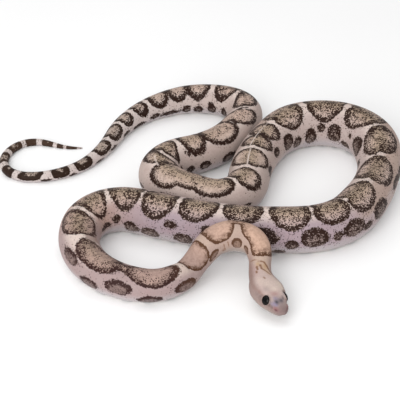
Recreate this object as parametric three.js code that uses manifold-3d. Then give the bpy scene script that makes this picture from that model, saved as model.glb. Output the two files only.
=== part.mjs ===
// A rat snake of the scaleless kind, at rest in open loops on a level floor.
// Millimetres, +Z up. The origin lies on the floor in the middle of the footprint.
//
// The body is one swept form. Its route over the floor is a chain of bends, each with
// a length and a turn, and its section follows a few named girths and heights. The form
// is parted by thin cuts across the body into the lengths listed in LENGTHS.
import * as THREE from 'three';
import Module from 'manifold-3d';
import { mergeVertices } from 'three/addons/utils/BufferGeometryUtils.js';

// ---------------------------------------------------------------- driving dimensions
const GAP = 0.3;               // clear space at each cut
const EASE = 7;                // half the length over which one bend passes into the next
const STEP = 0.5;              // step along the route when it is summed up
const CROWN = 0.97;            // height of the back above the axis, in half widths
const BELLY = 0.83;            // depth of the flat belly below the axis, in half widths
const FLANK = BELLY / CROWN;   // depth at which the round flank turns into the flat belly
const SNOUT = { x: 37.38, y: -100.07, heading: 117 };  // tip of the nose, and the way back

// [stretch, length, turn in degrees, + to the left], from the tip of the snout to the tail
const ROUTE = [
  ['snout', 12, 0], ['skull', 18, -24], ['nape', 4, -26.5],
  ['neck over', 12, 88.5], ['neck down', 29.5, 89.5], ['throat', 8.5, -15],
  ['front bend', 20, -57], ['front run', 30, -47], ['front left', 31.5, -48],
  ['shoulder', 32.5, -102.5], ['long reach', 42, 11.5], ['long reach end', 42.5, 19.5],
  ['right bend', 28, 51.5], ['right side', 25.5, 13], ['right side end', 15.5, 7],
  ['far right', 27, 26], ['far top', 28, 61.5], ['far left', 37, 72.5],
  ['inner run', 18, 10.5], ['inner run end', 27.5, 18], ['hook', 18, -56],
  ['hook end', 11.5, -56], ['near run', 18, -6], ['left hairpin', 21.5, -76.5],
  ['left hairpin end', 17, -51.5], ['slant', 26.5, 34.5], ['slant end', 29.5, 24],
  ['far hairpin', 16.5, 66], ['far hairpin end', 31.5, 53.5], ['tail arch', 50, 55],
  ['tail fall', 24.5, -17.5], ['tail run', 35, -54.5], ['tail curl', 21, -81],
  ['tail curl top', 20, -48], ['tail curl end', 18.5, -82.5], ['tail tip', 17.5, 40],
];
const BODY_LENGTH = ROUTE.reduce((sum, [, length]) => sum + length, 0);

// [distance from the snout, half width of the body]
const GIRTH = [
  [0, 1.9], [1, 2.9], [3, 4.3], [6, 5.5], [9, 6.9], [12, 7.5], [16, 7.8], [20, 7.0],
  [24, 5.6], [28, 5.2], [32, 5.1], [38, 5.8], [46, 7.0], [56, 7.4], [66, 6.9], [76, 6.1],
  [90, 7.3], [140, 9.1],
  [185, 11.0], [230, 11.4], [280, 11.5], [312, 11.6], [345, 10.7], [380, 12.4],
  [410, 12.4], [430, 12.1], [450, 10.9], [500, 10.5], [545, 10.9], [610, 9.6], [670, 8.0],
  [715, 5.5], [760, 3.3], [800, 2.6], [840, 1.9], [BODY_LENGTH, 0.5],
];
// [distance from the snout, height of the crown above the axis, depth of the chin below it]
const HEAD = [
  [0, 0.9, 1.1], [1, 1.9, 1.9], [3, 2.8, 2.5], [6, 3.7, 3.0], [9, 4.3, 3.4], [12, 4.7, 3.7],
  [16, 4.9, 4.0], [24, 4.9, 4.2], [34, 5.1, 4.4],
];
// [distance from the snout, height of the axis over the floor] while the neck is raised
const RAISED = [
  [0, 6.0], [12, 7.4], [28, 9.8], [36, 12.8], [46, 16.5], [54, 17.3], [62, 16.0],
  [73, 10.4], [84, 7.3],
];
const TOUCHDOWN = [88, 104];   // the neck comes down to the floor between these distances
const HEAD_ROLL = [[0, 7], [30, 7], [60, 0]];    // the head leans to its left, in degrees
const BOXY = [[0, 2], [3, 2.1], [8, 2.3], [20, 2.3], [34, 2]];  // squareness of the section: 2 is an ellipse

// [node, distance from the snout at which it ends, colour], each starting at the last one's end
const LENGTHS = [
  ['neck_top', 47, 0xd9b9a4], ['neck_arch', 66, 0xd9b9a4], ['neck_base', 92, 0xd2b09c],
  ['fore_trunk_1', 122, 0xc9aba2], ['fore_trunk_2', 154, 0xc4a8a2],
  ['fore_trunk_3', 182, 0xbfa49f], ['fore_trunk_4', 216, 0xb8a0a0],
  ['mid_trunk_1', 260, 0xa89898], ['mid_trunk_2', 300, 0xa39496],
  ['mid_trunk_3', 345, 0xa09093], ['mid_trunk_4', 388, 0x9c8d8e],
  ['mid_trunk_5', 424, 0x9a8b8c], ['mid_trunk_6', 468, 0x9a8c8c],
  ['hind_trunk_1', 500, 0x9b8d8d], ['hind_trunk_2', 527, 0x9b8d8d],
  ['hind_trunk_3', 550, 0x998b8b], ['hind_trunk_4', 577, 0x968989],
  ['hind_trunk_5', 622, 0x938787], ['hind_trunk_6', 648, 0x918585],
  ['hind_trunk_7', 694, 0x908484], ['tail_1', 742, 0x8d8280], ['tail_2', 784, 0x8b807e],
  ['tail_3', 811, 0x8b807e], ['tail_4', 835, 0x8b807e], ['tail_5', BODY_LENGTH, 0x8b807e],
];
const HEAD_END = 29;           // the head is parted from the neck here
const SIDES = 16;              // points round the section
const TAIL_SIDES = 12;         // the same on the thin end of the tail
const THIN = 3.4;              // half width below which a length counts as thin
const FACET_TURN = 12;         // largest turn from one section to the next, in degrees
const FACET_STEP = 9;          // largest distance from one section to the next

// The eye: its centre in the head's own axes, its radius seen from the side, its half
// thickness, and how far it faces up and forward.
const EYE = { at: 8.1, out: 4.82, up: 2.06, radius: 2.3, thick: 1.25, faceUp: 23.5, faceForward: 5 };
const JAW = { start: 0.7, end: 18, reach: 12 };            // the lower jaw's extent
// [distance from the snout, height over the axis] along the line of the closed mouth
const MOUTH_LINE = [[-3, -0.7], [1, -0.9], [5, -1.6], [13, -2.0], [18, -1.4]];

const SKIN_ROUGHNESS = 0.55;
const EYE_COLOUR = 0x0b0a0c;
const HEAD_COLOUR = 0xd8c0bc;

// ---------------------------------------------------------------- curves through stations
// A smooth value between stations that never overshoots them (monotone cubic).
function through(stations, column = 1) {
  const x = stations.map((row) => row[0]);
  const y = stations.map((row) => row[column]);
  const width = x.slice(1).map((value, i) => value - x[i]);
  const slope = width.map((w, i) => (y[i + 1] - y[i]) / w);
  const last = x.length - 1;
  const tangent = x.map((_, i) => {
    if (i === 0) return slope[0];
    if (i === last) return slope[last - 1];
    if (slope[i - 1] * slope[i] <= 0) return 0;
    const before = 2 * width[i] + width[i - 1];
    const after = width[i] + 2 * width[i - 1];
    return (before + after) / (before / slope[i - 1] + after / slope[i]);
  });
  return (at) => {
    const clamped = Math.min(Math.max(at, x[0]), x[last]);
    let i = 0;
    while (i < last - 1 && clamped > x[i + 1]) i += 1;
    const t = (clamped - x[i]) / width[i];
    const rise = width[i] * ((t ** 3 - 2 * t ** 2 + t) * tangent[i] + (t ** 3 - t ** 2) * tangent[i + 1]);
    return y[i] + (3 * t ** 2 - 2 * t ** 3) * (y[i + 1] - y[i]) + rise;
  };
}
const girth = through(GIRTH);
const headCrown = through(HEAD, 1);
const headDepth = through(HEAD, 2);
const raised = through(RAISED);
const roll = through(HEAD_ROLL);
const boxy = through(BOXY);
const smooth = (t) => t * t * (3 - 2 * t);
const share = (at, from, to) => smooth(Math.min(Math.max((at - from) / (to - from), 0), 1));

// ---------------------------------------------------------------- the route of the axis
// Heading at a distance: each bend adds its turn evenly over its length, eased at both ends.
function eased(x) {
  const inside = Math.min(Math.max(x, -EASE), EASE);
  return (inside + EASE) ** 2 / (4 * EASE) + Math.max(x - EASE, 0);
}
function headingAt(at) {
  let from = 0;
  let degrees = SNOUT.heading;
  for (const [, length, turn] of ROUTE) {
    degrees += turn * (eased(at - from) - eased(at - from - length)) / length;
    from += length;
  }
  return THREE.MathUtils.degToRad(degrees);
}
const walk = [{ x: SNOUT.x, y: SNOUT.y }];
for (let at = STEP / 2; at < BODY_LENGTH; at += STEP) {
  const { x, y } = walk.at(-1);
  const heading = headingAt(at);
  walk.push({ x: x + STEP * Math.cos(heading), y: y + STEP * Math.sin(heading) });
}
function heightAt(at) {
  const down = share(at, ...TOUCHDOWN);
  return raised(at) * (1 - down) + BELLY * girth(at) * down;
}
function axisAt(at) {
  const i = Math.min(Math.floor(at / STEP), walk.length - 2);
  const t = at / STEP - i;
  const x = walk[i].x + t * (walk[i + 1].x - walk[i].x);
  const y = walk[i].y + t * (walk[i + 1].y - walk[i].y);
  return new THREE.Vector3(x, y, heightAt(at));
}
// The body's own axes at a distance: side is its right, up its back, back runs to the tail.
function axesAt(at) {
  const heading = headingAt(at);
  const rise = heightAt(at + STEP) - heightAt(Math.max(at - STEP, 0));
  const climb = at > TOUCHDOWN[1] ? 0 : rise / (2 * STEP);
  const back = new THREE.Vector3(Math.cos(heading), Math.sin(heading), climb).normalize();
  const level = new THREE.Vector3(-Math.sin(heading), Math.cos(heading), 0);
  const lean = THREE.MathUtils.degToRad(roll(at));
  const side = level.clone().applyAxisAngle(back, lean);
  return { origin: axisAt(at), back, side, up: back.clone().cross(side).normalize() };
}
function place({ origin, back, side, up }, along, out, height) {
  return origin.clone().addScaledVector(back, along).addScaledVector(side, out).addScaledVector(up, height);
}

// ---------------------------------------------------------------- sections and lofts
// One section: a round back and flanks, closed below by one flat belly edge.
function sectionAt(at, sides) {
  const half = girth(at);
  const toBody = share(at, 24, 34);
  const crown = headCrown(at) * (1 - toBody) + CROWN * half * toBody;
  const depth = headDepth(at) * (1 - toBody) + BELLY * half * toBody;
  const power = 2 / boxy(at);
  const corner = Math.PI - Math.acos(FLANK);
  const axes = axesAt(at);
  return Array.from({ length: sides }, (_, i) => {
    const angle = corner * (2 * i / (sides - 1) - 1);
    const out = half * Math.sign(Math.sin(angle)) * Math.abs(Math.sin(angle)) ** power;
    const rise = Math.abs(Math.cos(angle)) ** power;
    const height = Math.cos(angle) > 0 ? crown * rise : Math.max(-depth * rise / FLANK, -depth);
    return place(axes, 0, out, height);
  });
}
// A closed solid through a row of sections, with a flat face at each end.
function loft(sections) {
  const sides = sections[0].length;
  const points = sections.flat().flatMap((p) => [p.x, p.y, p.z]);
  const faces = [];
  for (let r = 0; r < sections.length - 1; r += 1) {
    for (let i = 0; i < sides; i += 1) {
      const a = r * sides + i;
      const b = r * sides + (i + 1) % sides;
      faces.push(a, a + sides, b, b, a + sides, b + sides);
    }
  }
  const end = (sections.length - 1) * sides;
  for (let i = 1; i < sides - 1; i += 1) {
    faces.push(0, i, i + 1, end, end + i + 1, end + i);
  }
  const solid = new THREE.BufferGeometry();
  solid.setAttribute('position', new THREE.Float32BufferAttribute(points, 3));
  solid.setIndex(faces);
  return solid;
}
function bodyLength(from, to) {
  const sides = girth(from) < THIN ? TAIL_SIDES : SIDES;
  const stops = [from];
  let last = from;
  for (let at = from; at < to; at += STEP) {
    const turned = THREE.MathUtils.radToDeg(Math.abs(headingAt(at) - headingAt(last)));
    if (turned > FACET_TURN || at - last > FACET_STEP) {
      stops.push(at);
      last = at;
    }
  }
  if (to - last < 1) stops.pop();
  stops.push(to);
  return loft(stops.map((at) => sectionAt(at, sides)));
}

// ---------------------------------------------------------------- joining and cutting
const wasm = await Module();
wasm.setup();
function toSolid(geometry) {
  const bare = geometry.clone();
  bare.deleteAttribute('normal');
  bare.deleteAttribute('uv');
  const merged = mergeVertices(bare, 1e-4);
  return new wasm.Manifold(new wasm.Mesh({
    numProp: 3,
    vertProperties: new Float32Array(merged.attributes.position.array),
    triVerts: new Uint32Array(merged.index.array),
  }));
}
function toGeometry(solid) {
  const { vertProperties, triVerts } = solid.getMesh();
  const geometry = new THREE.BufferGeometry();
  geometry.setAttribute('position', new THREE.Float32BufferAttribute(vertProperties, 3));
  geometry.setIndex(Array.from(triVerts));
  return geometry;
}

// ---------------------------------------------------------------- the head
const headStops = [0, 0.5, 1.2, 2.2, 3.6, 5.2, 7, 9, 11, 13, 15, 17, 19, 21, 23, 25, 27, HEAD_END];
const wholeHead = toSolid(loft(headStops.map((at) => sectionAt(at, SIDES + 4))));
const headAxes = axesAt(EYE.at);

// A block below the mouth line, as wide as the head and more, drawn from the side.
function jawBlock(start, end, lift) {
  const outline = new THREE.Shape();
  const level = through(MOUTH_LINE);
  outline.moveTo(start, -JAW.reach);
  outline.lineTo(start, level(start) + lift);
  MOUTH_LINE.filter(([at]) => at > start && at < end).forEach(([at, height]) => outline.lineTo(at, height + lift));
  outline.lineTo(end, level(end) + lift);
  outline.lineTo(end, -JAW.reach);
  const block = new THREE.ExtrudeGeometry(outline, { depth: 2 * JAW.reach, bevelEnabled: false });
  const { back, side, up } = headAxes;
  const origin = place(headAxes, -EYE.at, JAW.reach, 0);
  const across = side.clone().negate();
  return toSolid(block.applyMatrix4(new THREE.Matrix4().makeBasis(back, up, across).setPosition(origin)));
}
// A flattened ball that looks out sideways: outwards is 1 on the right and -1 on the left.
function eyeball(outwards, clearance) {
  const ball = new THREE.SphereGeometry(1, 20, 14);
  ball.scale(EYE.radius + clearance, EYE.thick + clearance, EYE.radius + clearance);
  const up = THREE.MathUtils.degToRad(EYE.faceUp);
  const forward = THREE.MathUtils.degToRad(EYE.faceForward);
  const flat = Math.cos(up) * Math.cos(forward);
  const level = place(headAxes, -Math.sin(forward), outwards * flat, Math.sin(up)).sub(headAxes.origin).normalize();
  const ahead = headAxes.back.clone().cross(level).normalize();
  const third = ahead.clone().cross(level);
  const centre = place(headAxes, 0, outwards * EYE.out, EYE.up);
  return ball.applyMatrix4(new THREE.Matrix4().makeBasis(ahead, level, third).setPosition(centre));
}
const headSolid = wholeHead
  .subtract(jawBlock(MOUTH_LINE[0][0], JAW.end + GAP, GAP))
  .subtract(toSolid(eyeball(1, GAP)))
  .subtract(toSolid(eyeball(-1, GAP)));
const jawSolid = wholeHead.intersect(jawBlock(JAW.start, JAW.end, 0));

// ---------------------------------------------------------------- the finished animal
const snake = new THREE.Group();
function add(name, geometry, color, roughness = SKIN_ROUGHNESS) {
  const mesh = new THREE.Mesh(geometry, new THREE.MeshStandardMaterial({ color, roughness, metalness: 0 }));
  mesh.name = name;
  snake.add(mesh);
}
add('head', toGeometry(headSolid), HEAD_COLOUR);
add('lower_jaw', toGeometry(jawSolid), HEAD_COLOUR);
add('eye_right', eyeball(1, 0), EYE_COLOUR, 0.1);
add('eye_left', eyeball(-1, 0), EYE_COLOUR, 0.1);
let from = HEAD_END + GAP;
for (const [name, to, colour] of LENGTHS) {
  add(name, bodyLength(from, to), colour);
  from = to + GAP;
}

export default snake;
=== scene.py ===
"""The looks of a scaleless rat snake that lies in open loops on a pale floor.

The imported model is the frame. One skin replaces its solids of flesh: rings round a bending axis, with
the relief of head, belly and folds pushed into them. Each eye is a dome of its own, which comes out
between its lids. The markings are fields worked out on the skin, in millimetres to the nearest edge,
which the material turns into ragged outlines and specks.

A place on the skin is a distance along the axis from the tip of the snout, in millimetres, and an
angle round from the spine, + on the snake's right.
"""
import math

import bpy
import numpy as np
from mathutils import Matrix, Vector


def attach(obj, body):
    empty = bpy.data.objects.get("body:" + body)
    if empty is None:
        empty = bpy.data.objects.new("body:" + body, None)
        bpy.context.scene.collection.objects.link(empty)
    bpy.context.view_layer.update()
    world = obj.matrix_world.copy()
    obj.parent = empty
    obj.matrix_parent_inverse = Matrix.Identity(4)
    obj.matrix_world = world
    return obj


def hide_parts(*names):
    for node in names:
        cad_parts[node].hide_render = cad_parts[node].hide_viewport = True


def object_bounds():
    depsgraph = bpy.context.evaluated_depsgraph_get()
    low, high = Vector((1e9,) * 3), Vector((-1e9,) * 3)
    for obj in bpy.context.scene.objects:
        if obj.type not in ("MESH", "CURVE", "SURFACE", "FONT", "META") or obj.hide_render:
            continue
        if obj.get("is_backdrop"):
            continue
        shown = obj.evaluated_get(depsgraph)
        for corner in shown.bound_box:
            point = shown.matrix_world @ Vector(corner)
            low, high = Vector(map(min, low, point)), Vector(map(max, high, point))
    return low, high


bl_info = {
    "name": "Rat Snake",
    "version": (1, 0, 0),
    "blender": (4, 5, 0),
    "location": "View3D > Sidebar > Snake",
    "description": "Skin, eyes and studio for a life-size rat snake at rest",
    "category": "Add Mesh",
}

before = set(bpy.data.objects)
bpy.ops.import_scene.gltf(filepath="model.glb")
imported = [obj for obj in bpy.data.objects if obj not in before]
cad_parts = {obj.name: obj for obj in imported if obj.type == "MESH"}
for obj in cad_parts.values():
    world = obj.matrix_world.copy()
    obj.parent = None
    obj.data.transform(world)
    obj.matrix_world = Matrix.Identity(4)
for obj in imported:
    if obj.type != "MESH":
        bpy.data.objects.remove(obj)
CAD_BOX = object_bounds()
MM = 0.001

# ---------------------------------------------------------------- the snake's form, in millimetres
EASE = 7.0                      # half the length over which one bend passes into the next
STEP = 0.5                      # step along the route when it is summed up
CROWN = 0.97                    # height of the back above the axis, in half widths
BELLY = 0.83                    # depth of the flat belly below the axis, in half widths
FLANK = BELLY / CROWN           # how far down its round lower half the body is cut off flat
BELLY_EDGE = 45                 # how sharp the flat belly's edge is
SNOUT_X, SNOUT_Y = 37.38, -100.07       # where the axis starts
SNOUT_HEADING = 117.0           # its way back from there, in degrees from +X

# (stretch, length, turn in degrees, + to the left), from the tip of the snout to the tail
ROUTE = (
    ("snout", 12, 0), ("skull", 18, -24), ("nape", 4, -26.5),
    ("neck over", 12, 88.5), ("neck down", 29.5, 89.5), ("throat", 8.5, -15),
    ("front bend", 20, -57), ("front run", 30, -47), ("front left", 31.5, -48),
    ("shoulder", 32.5, -102.5), ("long reach", 42, 11.5), ("long reach end", 42.5, 19.5),
    ("right bend", 28, 51.5), ("right side", 25.5, 13), ("right side end", 15.5, 7),
    ("far right", 27, 26), ("far top", 28, 61.5), ("far left", 37, 72.5),
    ("inner run", 18, 10.5), ("inner run end", 27.5, 18), ("hook", 18, -56),
    ("hook end", 11.5, -56), ("near run", 18, -6), ("left hairpin", 21.5, -76.5),
    ("left hairpin end", 17, -51.5), ("slant", 26.5, 34.5), ("slant end", 29.5, 24),
    ("far hairpin", 16.5, 66), ("far hairpin end", 31.5, 53.5), ("tail arch", 50, 55),
    ("tail fall", 24.5, -17.5), ("tail run", 35, -54.5), ("tail curl", 21, -81),
    ("tail curl top", 20, -48), ("tail curl end", 18.5, -82.5), ("tail tip", 17.5, 40),
)
BODY_LENGTH = sum(length for _, length, _ in ROUTE)

# (distance from the snout, half width of the body)
GIRTH = (
    (0, 1.9), (1, 2.9), (3, 4.3), (6, 5.5), (9, 6.9), (12, 7.5), (16, 7.8), (20, 7.0),
    (24, 5.6), (28, 5.2), (32, 5.1), (38, 5.8), (46, 7.0), (56, 7.4), (66, 6.9), (76, 6.1),
    (90, 7.3), (140, 9.1), (185, 11.0), (230, 11.4), (280, 11.5), (312, 11.6), (345, 10.7),
    (380, 12.4), (410, 12.4), (430, 12.1), (450, 10.9), (500, 10.5), (545, 10.9), (610, 9.6),
    (670, 8.0), (715, 5.5), (760, 3.3), (800, 2.6), (840, 1.9), (BODY_LENGTH, 0.5),
)
# (distance from the snout, height of the crown above the axis, depth of the chin below it)
HEAD = (
    (0, 0.9, 1.1), (1, 1.9, 1.9), (3, 2.8, 2.5), (6, 3.7, 3.0), (9, 4.3, 3.4), (12, 4.7, 3.7),
    (16, 4.9, 4.0), (24, 4.9, 4.2), (34, 5.1, 4.4),
)
# (distance from the snout, height of the axis over the floor) while the neck is raised
RAISED = (
    (0, 6.0), (12, 7.4), (28, 9.8), (36, 12.8), (46, 16.5), (54, 17.3), (62, 16.0),
    (73, 10.4), (84, 7.3),
)
TOUCHDOWN = (88, 104)           # the neck comes down to the floor between these distances
# (distance from the snout, how far the right side is lifted, in degrees)
HEAD_ROLL = ((0, 7), (30, 7), (60, 0))
# (distance from the snout, power of the section's superellipse: 2 is round)
BOXY = ((0, 2), (3, 2.1), (8, 2.3), (20, 2.3), (34, 2))
HEAD_TO_BODY = (24, 34)         # the head's heights pass into the body's between these distances
SNOUT_CAP = (0.6, 1.4)          # where the nose begins to round over, and how far it goes
TAIL_CAP = (BODY_LENGTH - 0.6, 1.1)
VENT = 700                      # the tail begins here

EYE_AT, EYE_OUT, EYE_UP = 8.1, 4.82, 2.06       # an eye's centre: distance, out and up from the axis
EYE_FACE_UP, EYE_FACE_FORWARD = 23.5, 5         # how far the eyes turn up and forward, in degrees
EYE_RADIUS, EYE_THICK = 2.3, 1.25               # an eye's half width and half thickness
LID_RADIUS, LID_ROOT = 2.55, 3.4                # the mound round an eye: half width, and depth inwards
LID_OPEN = 0.985                # radius of the opening between the lids, as a share of the eye's
LID_EDGE = 9                    # how sharply the mound parts from the skin round it
LID_DEEPENS = (-0.3, 1.5)       # depths over which its flat outer half passes into the deep one
LID_SHAVES = (1.04, 1.6)        # radii, in its own, over which skin is less and less cut down to it
# (distance along the head, height of the line between the lips)
MOUTH_LINE = ((-3, -0.7), (1, -0.9), (5, -1.6), (13, -2.0), (18, -1.4))
MOUTH_END = 18.0
NOSTRIL = (1.7, 1.9, 0.75)      # along, out and up from the snout, in the head's axes

# ---------------------------------------------------------------- the markings, in millimetres
# Back saddles: (start, end, reach down each flank in degrees, lean of both flank ends towards the
# tail, slant of the right side towards the tail), the last two in millimetres at 45 degrees
SADDLES = (
    (33.4, 51, 65, 0.8, -0.3), (47, 58, 14, 0, 0), (53.6, 65.4, 66, 0, 0), (68, 83.6, 78, 0, 0),
    (88.3, 113, 64, -1, 0), (104, 126, 19, 0, 0), (116.3, 143.6, 49, -2.5, 0),
    (147, 164.8, 55, 0, 2.5), (166.8, 182.3, 63, -0.5, 2), (184, 201, 62, 1, 0),
    (202.3, 219.5, 66, 0, 0), (221.5, 240.5, 54, -1.5, 0), (241.8, 261.2, 47, 0, 0),
    (263.5, 283.2, 58, 0.5, 0), (284.2, 302, 53, -0.5, 0), (303.6, 324, 55, -4, 0),
    (326.3, 351, 57, -2, 0), (353, 376, 48, -2, -2), (377.2, 398.5, 56, 1, 0),
    (401.5, 422.5, 58, 0, 0), (425.5, 445, 58, 1, 0), (447.5, 460, 48, 0.5, 0),
    (459.2, 470.5, 50, 0.5, 0), (472.5, 488.8, 60, 0, 0), (491, 503.8, 62, 0.5, 0),
    (505.3, 526, 51, 0, 0), (517, 537, 43, 0, 0), (528, 546, 62, 1, 0), (545.5, 556.3, 60, 0, 5.5),
    (558, 569.5, 60, -2, 2), (571.5, 584.8, 61, 0.5, 0), (584.2, 607.8, 58, 0.5, 0),
    (607.2, 624.8, 61, -1, -4), (626, 643.5, 47, 0, -3.5), (645.3, 658.7, 65, 0, 0),
    (661.3, 674.5, 67, 0.5, 0), (673.6, 686.5, 64, 0.5, 0), (685.6, 698.2, 69, 0.5, 0),
    (700.6, 709.8, 76, 0, 0), (712.3, 721.6, 72, 0.5, 0), (723.6, 736.2, 72, 1, 0),
    (738.9, 751, 80, 0, 0), (755.3, 765.7, 100, 0, 0), (769, 778.2, 102, 0, 0),
    (782, 793.6, 98, 1, 0), (797.5, 805, 130, 0, 0), (809, 818.8, 130, 0, 0),
    (822, 831.8, 150, 0, 0), (834.7, 840.8, 170, 0, 0), (844.2, 850.4, 170, 0, 0),
    (852.6, 855.8, 180, 0, 0), (857.6, 863, 180, 0, 0),
)
# Pale seams along the spine, where left and right half saddles don't meet evenly:
# (distance and degrees where one starts, distance and degrees where it ends, half width)
SEAMS = (
    (163.6, -45, 168.2, 28, 0.3), (447, -9, 470.5, -12, 0.28), (471, -6, 489, -3, 0.3),
    (545.5, 13, 554, 13, 0.35), (375.5, 0, 376.5, -12, 0.35), (622.8, 0, 628.5, -42, 0.5),
    (398.6, 0, 400.6, 0, 0.9), (445.6, -6, 447, -6, 0.8), (607, 0, 607.5, -14, 0.3),
)
# (distance, power of the saddles' superellipse: the higher, the squarer their corners)
SQUARE = (
    (30, 12), (36, 9), (44, 3.2), (50, 2.6), (60, 3.4), (66, 3.4), (72, 2.2), (84, 2.2), (92, 1.7),
    (108, 1.7), (116, 2.4), (165, 2.8), (200, 2.1), (700, 2.2), (760, 3.2), (830, 5),
)
# (distance, how far round to the right the saddles sit, in degrees)
ASIDE = ((30, -11), (50, -11), (56, 0), (860, 0))
# Flank blotches: (distance, degrees round from the spine, + on the right, half length, half height)
BLOTCHES = (
    (40.5, 84, 3.2, 1.4), (50.8, 84, 4.3, 2.7), (68.3, 82, 3.6, 1.9), (88.1, 88, 4.6, 3.0),
    (101.5, 112, 4.3, 2.6), (113.4, 75, 5.3, 3.5), (126.5, 99, 4.4, 2.8), (139, 61, 5.6, 2.7),
    (571, -41, 0.8, 1.3), (573, -50, 1.2, 1.4), (414.5, 65, 2.4, 1.2), (283, -56, 1.2, 0.7),
    (171, -89, 6.5, 1.6), (185.8, -81, 4.8, 2.3), (199, -102, 4.8, 3.4), (209.5, -108, 4.6, 3.4),
    (219.4, -70, 3.0, 1.9), (225.5, -105, 4.6, 3.4), (238.5, -72, 5.0, 3.2), (258.5, -75, 9.6, 5.1),
    (273.8, -95, 3.0, 2.7), (268.5, -122, 3.2, 2.0), (283.2, -78, 5.4, 5.2), (292.2, -84, 2.0, 2.6),
    (299.4, -76, 4.8, 4.4), (306, -90, 2.6, 2.2), (317, -77, 6.6, 4.4), (341, -76, 6.5, 2.4),
    (369.5, 69, 7.0, 4.8), (383.5, 70, 2.2, 1.2), (389, 102, 6.0, 1.6), (402, 82, 7.0, 5.2),
    (414.5, 71, 3.4, 2.2), (424, 92, 5.2, 5.0), (437.5, 96, 4.2, 3.4), (447.2, 76, 4.9, 4.4),
    (462.5, 68, 3.4, 2.4), (480, 78, 4.2, 2.4), (504.5, 88, 1.6, 0.9), (547, 92, 1.2, 0.7),
    (556.5, 84, 1, 0.5),
    (624, -92, 1, 0.6), (572, -98, 3.6, 2.2), (581.5, -97, 2.8, 2.6), (594.5, -102, 3.6, 3.0),
    (647.3, 103, 3.4, 3.2), (658.3, 97, 3.1, 3.6), (668, 107, 3.2, 2.6), (676.2, 102, 2.9, 2.5),
    (687.5, 106, 6.6, 1.4), (698.2, 98, 3.0, 1.6), (711, 106, 5.0, 1.3), (723.5, 92, 3.6, 1.1),
    (738, 92, 3.0, 0.8), (751, 102, 2.6, 0.8), (767.8, 104, 1.8, 0.8), (781, 103, 2.4, 0.7),
)
# Brown lines round two spear marks on the nape, and short dashes by them and on the neck's flank,
# as in SEAMS
NAPE_LINES = (
    (30.6, 3, 30.4, -12, 0.3), (30.4, -12, 28.6, -24, 0.35), (28.6, -24, 24.5, -36, 0.4),
    (24.5, -36, 21.5, -42, 0.2), (28, 6, 25.6, 3, 0.3), (25.6, 3, 24.3, -9, 0.25),
    (24.3, -9, 21.8, -26, 0.15), (31.6, 62, 31.6, 36, 0.3), (31.6, 36, 30.9, 14, 0.22),
    (26.9, 24, 25.4, 22, 0.35), (24.3, 30, 23.6, 29, 0.3), (19.9, 5.5, 19, 4, 0.15),
    (57.6, 76, 57.2, 98, 0.2), (60.4, 78, 60.6, 104, 0.2), (63.2, 82, 62.6, 104, 0.2),
)
# Soft tints of the head, painted light and shade among them: (name of the tone, its strength, distance,
# degrees, half length, half height)
HEAD_TINTS = (
    ("snout_tone", 0.95, 0.5, 0, 3.8, 8), ("snout_grey", 0.75, 4.9, 2, 1.9, 2.4),
    ("rose", 0.5, 9, 3, 1.6, 1.7), ("snout_grey", 0.45, 5.6, 48, 1.1, 0.8),
    ("snout_grey", 0.75, 8.6, -35, 1.7, 0.9), ("snout_grey", 0.3, 12.4, 20, 1.5, 1.5),
    ("rose", 0.75, 2.2, 54, 1.3, 1.2), ("rose", 0.6, 2.2, -58, 1.3, 1.2),
    ("rose", 0.2, 24, 32, 3, 1.6), ("rose", 0.2, 12.5, 46, 1.6, 0.9),
    ("stripe_tone", 0.6, 12.4, 50, 1.6, 0.8), ("stripe_tone", 0.5, 16, 56, 2.6, 1.1),
    ("stripe_tone", 0.5, 21, 64, 4, 1.3), ("stripe_tone", 0.6, 28, 68, 5, 1.4),
    ("stripe_tone", 0.25, 12.4, -55, 1.6, 0.8), ("stripe_tone", 0.4, 18, -60, 4, 1.2),
    ("snout_blue", 0.75, 4.4, 32, 1.1, 1.0), ("snout_blue", 0.8, 3.4, 30, 0.7, 0.9),
    ("snout_blue", 0.6, 6.4, 12, 1.1, 1.1), ("slate", 0.95, 4.5, 17, 1.0, 0.8),
    ("slate", 0.75, 4.7, -9, 1.0, 0.8), ("slate", 0.65, 6, -24, 1.3, 0.7),
    # the nostril tones are painted shade: dark in the shallow nostril pits, fainter just before the
    # left one
    ("nostril_pit_shade", 0.9, 1.75, 62, 0.65, 0.6), ("nostril_pit_shade", 0.9, 1.75, -62, 0.65, 0.6),
    # the pale crown tones: paler skin on the crown, partly painted light that lifts its left side where
    # it turns from the lamps
    ("nostril_pit_shade", 0.4, 0.6, -48, 0.9, 0.7), ("pale_crown_and_painted_light", 0.6, 11.6, -5, 1.6, 1.6),
    ("pale_crown_and_painted_light", 0.9, 14.5, -39, 4, 2.4), ("pale_crown_and_painted_light", 0.45, 15.5, 4, 3, 2),
    ("pale_crown_and_painted_light", 0.35, 18, 24, 3, 2), ("pale_crown_and_painted_light", 0.7, 11, -38, 1.8, 1.4),
    ("snout_tone", 0.5, 12, 66, 2, 1.4), ("snout_blue", 0.5, 4.5, 49, 1.2, 1.0),
    ("rose", 0.18, 27, 36, 2, 1.6), ("nape_tan", 0.5, 23, -20, 2, 1.2),
    ("nape_tan", 0.9, 27.2, -14, 3, 1.5), ("nape_tan", 0.8, 28.8, 18, 1.9, 1.2),
)
# (distance, how crowded the dark specks inside the saddles are, from 0 to 1)
CROWD = (
    (30, 0.015), (84, 0.015), (92, 0.2), (150, 0.3), (170, 0.45), (190, 0.58), (235, 0.58),
    (300, 0.54), (370, 0.52), (388, 0.7), (440, 0.58), (450, 0.38), (480, 0.2), (600, 0.26),
    (640, 0.36), (655, 0.85), (668, 0.5), (700, 0.34), (715, 0.26), (752, 0.26), (758, 0.5),
    (778, 0.75), (782, 0.3), (794, 0.3), (796, 1.0), (806, 1.0), (809, 0.5), (819, 0.5),
    (822, 0.8), (840, 1.0),
)
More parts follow.
